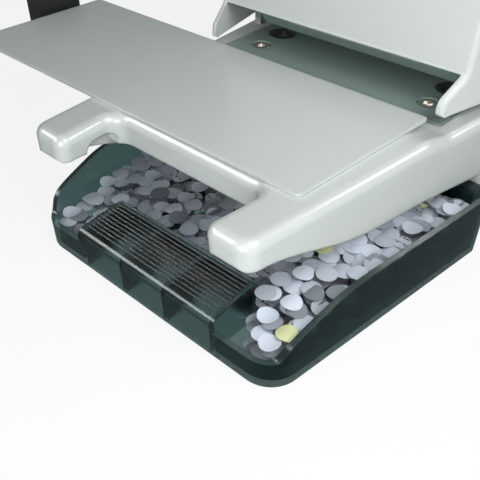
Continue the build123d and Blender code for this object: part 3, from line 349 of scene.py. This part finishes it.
PILE_RISE = 9.0                          # how much higher it lies on the right
PILE_RISE_FROM, PILE_RISE_TO = -45.0, 50.0
PILE_FRONT = 0.42                        # share of that height at the tray's front
PILE_FRONT_FROM, PILE_FRONT_TO = -2.0, 42.0
PILE_REAR_LOSS = 0.7                     # share of the height lost at the tray's rear end
PILE_REAR_FROM, PILE_REAR_TO = 100.0, 139.0
PILE_LIMIT = 22.6                        # no chip reaches higher than this
BROAD_HEAP, SMALL_HEAP = 0.8, 0.5        # heights of the waves that keep the pile uneven
BARE_CORNER = 46.0                       # beside the grip's right end the floor is nearly bare
BARE_DEPTH = 20.0
BARE_SLANT = 0.6                         # slope of the pile's foot there, seen from above
BARE_FROM, BARE_TO = 41.0, 52.0
# Painted shade: chips are darkened on the left, where the machine shades them, and where other chips
# bury them.
LEFT_PAINTED_SHADE = 0.78                        # painted shade: tone factor of the chips on the left, 1 on the right
PAINTED_SHADE_FROM, PAINTED_SHADE_TO = -15.0, 32.0
BURIED_PAINTED_SHADE = 0.6                       # painted shade: share of its tone that a deeply buried chip loses
BURIED_FROM, BURIED_TO = 0.5, 2.4
TONE_LOWEST = 0.66                       # paper tones run from this up by the spread
TONE_SPREAD = 0.38

# shade: painted shade, a tone factor that darkens chips on the left and under other chips.
Chip = namedtuple("Chip", "x y z slope_x slope_y spin variant shade")


def smooth(value, low, high):
    """0 below low, 1 above high, with an eased rise between them."""
    part = np.clip((value - low) / (high - low), 0.0, 1.0)
    return part * part * (3.0 - 2.0 * part)


def pile_height(x, y):
    """Height that the loose chips fill to: low on the left, near the rim on the right."""
    crown = PILE_LEFT + PILE_RISE * smooth(x, PILE_RISE_FROM, PILE_RISE_TO)
    broad = BROAD_HEAP * math.sin(0.13 * x + 1.0) * math.cos(0.11 * y)
    heaps = broad + SMALL_HEAP * math.sin(0.31 * x - 0.23 * y)
    fall = PILE_FRONT + (1.0 - PILE_FRONT) * smooth(y, PILE_FRONT_FROM, PILE_FRONT_TO)
    if y > PILE_REAR_FROM:
        fall *= 1.0 - PILE_REAR_LOSS * smooth(y, PILE_REAR_FROM, PILE_REAR_TO)
    height = TRAY_FLOOR + (crown + heaps - TRAY_FLOOR) * fall
    if GRIP_HALF < x < BARE_CORNER and y < BARE_DEPTH:
        share = smooth(x + BARE_SLANT * y, BARE_FROM, BARE_TO)
        height = TRAY_FLOOR + (height - TRAY_FLOOR) * share
    return height


def fits_in_tray(x, y, reach):
    """Whether a disc of this reach lies inside the tray's walls and clear of the grip."""
    if y < TRAY_FLOOR + reach or y > TRAY_INNER_END - reach:
        return False
    half = TRAY_NARROW_HALF if y > TRAY_WIDE_END - reach else TRAY_INNER_HALF + TRAY_FLARE * y
    if abs(x) > half - reach:
        return False
    corner_x = TRAY_INNER_HALF + TRAY_FLARE * y - TRAY_INNER_CORNER
    corner_y = TRAY_FLOOR + TRAY_INNER_CORNER
    if abs(x) > corner_x and y < corner_y:
        return math.hypot(abs(x) - corner_x, y - corner_y) < TRAY_INNER_CORNER - reach
    return abs(x) > GRIP_HALF + reach or y > GRIP_DEPTH + reach


def painted_chip_shade(x, buried):
    """Tone factor that paints shade: chips are darker on the left, in the machine's shade, and where
    others lie this deep on top.
    """
    side = LEFT_PAINTED_SHADE + (1.0 - LEFT_PAINTED_SHADE) * smooth(x, PAINTED_SHADE_FROM, PAINTED_SHADE_TO)
    return side * (1.0 - BURIED_PAINTED_SHADE * smooth(buried, BURIED_FROM, BURIED_TO))


def drop_chips():
    """Chips that land one after another on a height map of the tray."""
    rng = np.random.default_rng(CHIP_SEED)
    steps = np.arange(-CHIP_RADIUS, CHIP_RADIUS + 0.1, RASTER)
    across, along = np.meshgrid(steps, steps, indexing="ij")
    inside = np.hypot(across, along) <= CHIP_RADIUS
    cells_x = np.rint(across[inside] / RASTER).astype(int)
    cells_y = np.rint(along[inside] / RASTER).astype(int)
    across, along = across[inside], along[inside]
    plane_fit = np.linalg.pinv(np.column_stack([across, along, np.ones_like(across)]))
    heights = np.full((int(2 * MAP_HALF / RASTER), int(MAP_DEPTH / RASTER)), TRAY_FLOOR)
    landed = []
    for _ in range(CHIP_TRIES):
        x, y = rng.uniform(-DROP_HALF, DROP_HALF), rng.uniform(DROP_FRONT, DROP_REAR)
        turned = rng.standard_t(3, 2) * CHIP_TILT
        if not fits_in_tray(x, y, CHIP_REACH):
            continue
        cell = (int((x + MAP_HALF) / RASTER) + cells_x, int(y / RASTER) + cells_y)
        under = heights[cell]
        if under.mean() > pile_height(x, y):
            continue
        slope_x, slope_y, _ = plane_fit @ under
        slopes = np.clip((slope_x + turned[0], slope_y + turned[1]), -CHIP_STEEPEST, CHIP_STEEPEST)
        spin = rng.uniform(0.0, 2 * math.pi)
        variant = int(rng.integers(len(CHIP_CURLS)))
        bend = across * math.cos(spin) + along * math.sin(spin)
        form = slopes[0] * across + slopes[1] * along - bend ** 2 / (2 * CHIP_CURLS[variant])
        height = np.quantile(under - form, CHIP_REST)
        top = form + height + CHIP_THICKNESS
        if top.max() > PILE_LIMIT:
            continue
        heights[cell] = np.maximum(under, top)
        landed.append(Chip(x, y, height + CHIP_THICKNESS / 2, *slopes, spin, variant, 1.0))
    shaded = []
    # Painted shade: each chip is darkened by its side and by how deep later chips bury it.
    for chip in landed:
        above = heights[int((chip.x + MAP_HALF) / RASTER), int(chip.y / RASTER)] - chip.z
        shaded.append(chip._replace(shade=painted_chip_shade(chip.x, above)))
    return shaded


def chip_mesh(name, curl):
    """Thin closed disc bent round its local Y axis, with its flat plan as texture coordinates."""
    inner_count, rim_count = 8, 16
    inner_radius = 0.55 * CHIP_RADIUS
    rim_start = 1 + inner_count
    rings = ((0.0, 1), (inner_radius, inner_count), (CHIP_RADIUS, rim_count))
    plan = [(radius * math.cos(2 * math.pi * k / count), radius * math.sin(2 * math.pi * k / count))
            for radius, count in rings for k in range(count)]
    cap = [(0, 1 + k, 1 + (k + 1) % inner_count) for k in range(inner_count)]
    for k in range(inner_count):
        inner, after = 1 + k, 1 + (k + 1) % inner_count
        outer, middle = rim_start + 2 * k, rim_start + 2 * k + 1
        last = rim_start + (2 * k + 2) % rim_count
        cap += [(inner, outer, middle), (inner, middle, last, after)]
    rim = [(rim_start + k, rim_start + (k + 1) % rim_count) for k in range(rim_count)]
    count = len(plan)
    points = [(x * MM, y * MM, (side * CHIP_THICKNESS / 2 - x * x / (2 * curl)) * MM)
              for side in (1, -1) for x, y in plan]
    faces = cap + [tuple(reversed([count + v for v in face])) for face in cap]
    faces += [(a, count + a, count + b, b) for a, b in rim]
    mesh = bpy.data.meshes.new(name)
    mesh.from_pydata(points, [], faces)
    layer = mesh.uv_layers.new(name="chip")
    for loop in mesh.loops:
        x, y = plan[loop.vertex_index % count]
        layer.data[loop.index].uv = (0.5 + x / (2 * CHIP_RADIUS), 0.5 + y / (2 * CHIP_RADIUS))
    mesh.shade_smooth()
    for edge in mesh.edges:
        first, second = edge.vertices
        on_rim = min(first % count, second % count) >= rim_start
        edge.use_edge_sharp = on_rim and abs(first - second) < count
    return mesh


PRINTED_BELOW = 0.12                     # chips whose mark is under this carry bits of print
BLUE_BELOW = 0.004
YELLOW_ABOVE = 0.988
LINES_PER_CHIP = 2.3
LINE_HALF = 0.15                         # half a printed line's height, as a share of its pitch
STROKE_ABOVE = 0.52                      # noise over this is ink within a line
MARK_TO_PATTERN = 50.0                   # spreads the marks, so that no two chips share a pattern
YELLOW = (0.72, 0.76, 0.42, 1)
BLUE = (0.05, 0.42, 0.72, 1)
PAPER = (0.72, 0.78, 0.88, 1)
PAPER_SHADER = {"Specular IOR Level": 0.35, "Roughness": 0.62}


def make_paper_group():
    """Paper of slightly different whites, darkened by a painted shade; some chips carry bits of lines,
    a few are dyed.
    """
    group, start, end = new_group(
        "printed paper",
        [("Paper", "NodeSocketColor", (0.8, 0.8, 0.8, 1)),
         ("Ink", "NodeSocketColor", (0.02, 0.02, 0.03, 1)),
         ("Printed share", "NodeSocketFloat", PRINTED_BELOW)],
        [("Colour", "NodeSocketColor"), ("Normal", "NodeSocketVector")],
    )
    link = group.links.new
    # The tone attribute is a random paper tone times the chip's painted shade.
    tone = add(group, "ShaderNodeAttribute", attribute_name="tone").outputs["Fac"]
    mark = add(group, "ShaderNodeAttribute", attribute_name="mark").outputs["Fac"]
    flat = add(group, "ShaderNodeUVMap", uv_map="chip")
    split = group.nodes.new("ShaderNodeSeparateXYZ")
    link(flat.outputs["UV"], split.inputs[0])

    shaded = group.nodes.new("ShaderNodeHueSaturation")
    link(start.outputs["Paper"], shaded.inputs["Color"])
    link(tone, shaded.inputs["Value"])

    lines = arithmetic(group, "MULTIPLY_ADD", split.outputs["Y"], LINES_PER_CHIP, 0.5)
    across_line = arithmetic(group, "SUBTRACT", arithmetic(group, "FRACT", lines), 0.5)
    on_line = arithmetic(group, "LESS_THAN", arithmetic(group, "ABSOLUTE", across_line), LINE_HALF)
    bits = add(group, "ShaderNodeTexNoise", Scale=11.0, Detail=0.0)
    bits.noise_dimensions = "4D"
    link(flat.outputs["UV"], bits.inputs["Vector"])
    link(arithmetic(group, "MULTIPLY", mark, MARK_TO_PATTERN), bits.inputs["W"])
    stroke = arithmetic(group, "GREATER_THAN", bits.outputs["Fac"], STROKE_ABOVE)
    printed = arithmetic(group, "LESS_THAN", mark, start.outputs["Printed share"])
    ink = arithmetic(group, "MULTIPLY", printed, arithmetic(group, "MULTIPLY", on_line, stroke))
    inked = blend_colours(group, ink, shaded.outputs["Color"], start.outputs["Ink"])

    is_yellow = arithmetic(group, "GREATER_THAN", mark, YELLOW_ABOVE)
    yellowed = blend_colours(group, is_yellow, inked, YELLOW)
    is_blue = arithmetic(group, "LESS_THAN", mark, BLUE_BELOW)
    dyed = blend_colours(group, is_blue, yellowed, BLUE)

    fibre = add(group, "ShaderNodeTexNoise", Scale=2600.0, Detail=1.0)
    where = group.nodes.new("ShaderNodeTexCoord").outputs["Object"]
    link(where, fibre.inputs["Vector"])
    relief = add(group, "ShaderNodeBump", Strength=0.12, Distance=0.0001)
    link(fibre.outputs["Fac"], relief.inputs["Height"])
    link(dyed, end.inputs["Colour"])
    link(relief.outputs["Normal"], end.inputs["Normal"])
    return group


def make_scatter_nodes():
    """Geometry nodes: one chip on each point, turned as the point says."""
    group = bpy.data.node_groups.new("scatter chips", "GeometryNodeTree")
    group.interface.new_socket("Geometry", in_out="INPUT", socket_type="NodeSocketGeometry")
    group.interface.new_socket("Chip", in_out="INPUT", socket_type="NodeSocketObject")
    group.interface.new_socket("Finish", in_out="INPUT", socket_type="NodeSocketMaterial")
    group.interface.new_socket("Geometry", in_out="OUTPUT", socket_type="NodeSocketGeometry")
    start = group.nodes.new("NodeGroupInput")
    end = group.nodes.new("NodeGroupOutput")
    chip = group.nodes.new("GeometryNodeObjectInfo")
    turn = group.nodes.new("GeometryNodeInputNamedAttribute")
    turn.data_type = "FLOAT_VECTOR"
    turn.inputs["Name"].default_value = "turn"
    scatter = group.nodes.new("GeometryNodeInstanceOnPoints")
    realize = group.nodes.new("GeometryNodeRealizeInstances")
    finish = group.nodes.new("GeometryNodeSetMaterial")
    link = group.links.new
    link(start.outputs["Chip"], chip.inputs["Object"])
    link(start.outputs["Geometry"], scatter.inputs["Points"])
    link(chip.outputs["Geometry"], scatter.inputs["Instance"])
    link(turn.outputs["Attribute"], scatter.inputs["Rotation"])
    link(scatter.outputs["Instances"], realize.inputs["Geometry"])
    link(realize.outputs["Geometry"], finish.inputs["Geometry"])
    link(start.outputs["Finish"], finish.inputs["Material"])
    link(finish.outputs["Geometry"], end.inputs["Geometry"])
    return group


def chip_turn(slope_x, slope_y, spin):
    """Euler angles of a chip that lies on a plane and is spun on it."""
    upright = Vector((-slope_x, -slope_y, 1.0)).normalized()
    lean = Vector((0, 0, 1)).rotation_difference(upright)
    return (lean @ Quaternion((0, 0, 1), spin)).to_euler()


def scatter_chips(name, landed, curl, group, finish, rng):
    """One plain mesh of all the chips of one variant, riding with the tray."""
    mesh = bpy.data.meshes.new(name + "_points")
    mesh.from_pydata([place(chip.x, chip.y, chip.z) for chip in landed], [], [])
    turns = mesh.attributes.new("turn", "FLOAT_VECTOR", "POINT")
    tones_and_painted_shade = mesh.attributes.new("tone", "FLOAT", "POINT")
    marks = mesh.attributes.new("mark", "FLOAT", "POINT")
    for index, chip in enumerate(landed):
        turns.data[index].vector = chip_turn(chip.slope_x, chip.slope_y, chip.spin)
        # tone: a random paper tone times the chip's painted shade.
        tones_and_painted_shade.data[index].value = chip.shade * (TONE_LOWEST + TONE_SPREAD * rng.random())
        marks.data[index].value = rng.random()
    points = bpy.data.objects.new(name + "_points", mesh)
    one_chip = bpy.data.objects.new(name + "_shape", chip_mesh(name + "_shape", curl))
    for helper in (points, one_chip):
        bpy.context.scene.collection.objects.link(helper)
    modifier = points.modifiers.new("scatter", "NODES")
    modifier.node_group = group
    sockets = {item.name: item.identifier for item in group.interface.items_tree
               if item.in_out == "INPUT"}
    modifier[sockets["Chip"]] = one_chip
    modifier[sockets["Finish"]] = finish
    bpy.context.view_layer.update()
    evaluated = points.evaluated_get(bpy.context.evaluated_depsgraph_get())
    plain = bpy.data.meshes.new_from_object(evaluated)
    for helper in (points, one_chip):
        bpy.data.objects.remove(helper)
    chips = bpy.data.objects.new(name, plain)
    bpy.context.scene.collection.objects.link(chips)
    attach(chips, "tray")


def fill_tray():
    """Drop the chips and make one piece of each curl."""
    rng = random.Random(CHIP_SEED)
    finish = surface("chip paper", make_paper_group(), PAPER_SHADER, Paper=PAPER)
    group = make_scatter_nodes()
    landed = drop_chips()
    for variant, curl in enumerate(CHIP_CURLS):
        chosen = [chip for chip in landed if chip.variant == variant]
        scatter_chips("chips_" + "abcd"[variant], chosen, curl, group, finish, rng)


fill_tray()


# ------------------------------------------------------------------ camera
CAMERA_PLACE = (129.66, -93.93, 154.79)      # machine millimetres
CAMERA_TILT = 51.2                           # degrees from straight down
CAMERA_TURN = 42.3
CAMERA_LENS = 48.375

camera_data = bpy.data.cameras.new("camera")
camera_data.lens = CAMERA_LENS
camera_data.sensor_width = 36.0
camera_data.clip_start = 0.01
camera = bpy.data.objects.new("camera", camera_data)
camera.location = place(*CAMERA_PLACE)
camera.rotation_euler = (math.radians(CAMERA_TILT), 0, math.radians(CAMERA_TURN))
bpy.context.scene.collection.objects.link(camera)
bpy.context.scene.camera = camera


# ------------------------------------------------------------------ desk and light
DESK_HALF = 3.0
DESK_COLOUR = (0.86, 0.87, 0.87, 1)
DESK_WHITENESS = 0.85                # share of plain white that the camera sees on the desk
MIRRORED_COLOUR = (0.75, 0.9, 0.88, 1)
MIRRORED_STRENGTH = 0.16             # the desk as glossy pieces mirror it
ROOM_COLOUR = (0.93, 0.97, 1.0, 1)
ROOM_STRENGTH = 0.24


def make_desk():
    """Pale plain floor; the camera sees it nearly white, with the machine's soft shadow."""
    mesh = bpy.data.meshes.new("desk")
    half = DESK_HALF
    corners = [(-half, -half), (half, -half), (half, half), (-half, half)]
    mesh.from_pydata([(x, y, DESK_Z) for x, y in corners], [], [(0, 1, 2, 3)])
    desk = bpy.data.objects.new("desk", mesh)
    bpy.context.scene.collection.objects.link(desk)
    material = bpy.data.materials.new("desk top")
    material.use_nodes = True
    tree = material.node_tree
    tree.nodes.clear()
    output = tree.nodes.new("ShaderNodeOutputMaterial")
    matt = add(tree, "ShaderNodeBsdfDiffuse", Color=DESK_COLOUR)
    white = add(tree, "ShaderNodeEmission", Color=(1, 1, 1, 1), Strength=1.0)
    ray = tree.nodes.new("ShaderNodeLightPath")
    seen = arithmetic(tree, "MAXIMUM", ray.outputs["Is Camera Ray"], ray.outputs["Is Transmission Ray"])
    share = arithmetic(tree, "MULTIPLY", seen, DESK_WHITENESS)
    mix = tree.nodes.new("ShaderNodeMixShader")
    tree.links.new(share, mix.inputs["Fac"])
    tree.links.new(matt.outputs["BSDF"], mix.inputs[1])
    tree.links.new(white.outputs["Emission"], mix.inputs[2])
    mirrored = add(tree, "ShaderNodeEmission", Color=MIRRORED_COLOUR, Strength=MIRRORED_STRENGTH)
    by_ray = tree.nodes.new("ShaderNodeMixShader")
    opaque = arithmetic(tree, "SUBTRACT", ray.outputs["Is Glossy Ray"],
                        ray.outputs["Is Transmission Ray"])
    tree.links.new(opaque, by_ray.inputs["Fac"])
    tree.links.new(mix.outputs["Shader"], by_ray.inputs[1])
    tree.links.new(mirrored.outputs["Emission"], by_ray.inputs[2])
    tree.links.new(by_ray.outputs["Shader"], output.inputs["Surface"])
    mesh.materials.append(material)


def make_world():
    """Even room light; the camera sees plain white."""
    world = bpy.data.worlds.new("studio")
    world.use_nodes = True
    tree = world.node_tree
    tree.nodes.clear()
    output = tree.nodes.new("ShaderNodeOutputWorld")
    room = add(tree, "ShaderNodeBackground", Color=ROOM_COLOUR, Strength=ROOM_STRENGTH)
    white = add(tree, "ShaderNodeBackground", Color=(1, 1, 1, 1), Strength=1.0)
    ray = tree.nodes.new("ShaderNodeLightPath")
    mix = tree.nodes.new("ShaderNodeMixShader")
    tree.links.new(ray.outputs["Is Camera Ray"], mix.inputs["Fac"])
    tree.links.new(room.outputs["Background"], mix.inputs[1])
    tree.links.new(white.outputs["Background"], mix.inputs[2])
    tree.links.new(mix.outputs["Shader"], output.inputs["Surface"])
    bpy.context.scene.world = world


def softbox(name, at, towards, size, watts, only_in_reflections=False):
    """Rectangular studio lamp of a size in metres; both places are machine millimetres."""
    data = bpy.data.lights.new(name, "AREA")
    data.shape = "RECTANGLE"
    data.size, data.size_y = size
    data.energy = watts
    lamp = bpy.data.objects.new(name, data)
    lamp.visible_diffuse = not only_in_reflections
    lamp.location = place(*at)
    lamp.rotation_euler = (place(*towards) - place(*at)).to_track_quat("-Z", "Y").to_euler()
    bpy.context.scene.collection.objects.link(lamp)


make_desk()
make_world()
softbox("key softbox", (150, -250, 160), (20, 30, 30), (0.18, 0.18), 0.66)
softbox("side softbox", (200, 10, 250), (30, 50, 40), (0.16, 0.16), 0.50)
softbox("front left glint", (-300, -275, 320), (0, 20, 30), (0.34, 0.16), 1.6,
        only_in_reflections=True)
softbox("rear right glint", (330, 480, 420), (40, 80, 40), (0.10, 0.07), 1.0,
        only_in_reflections=True)

bpy.context.scene.view_settings.view_transform = "Standard"
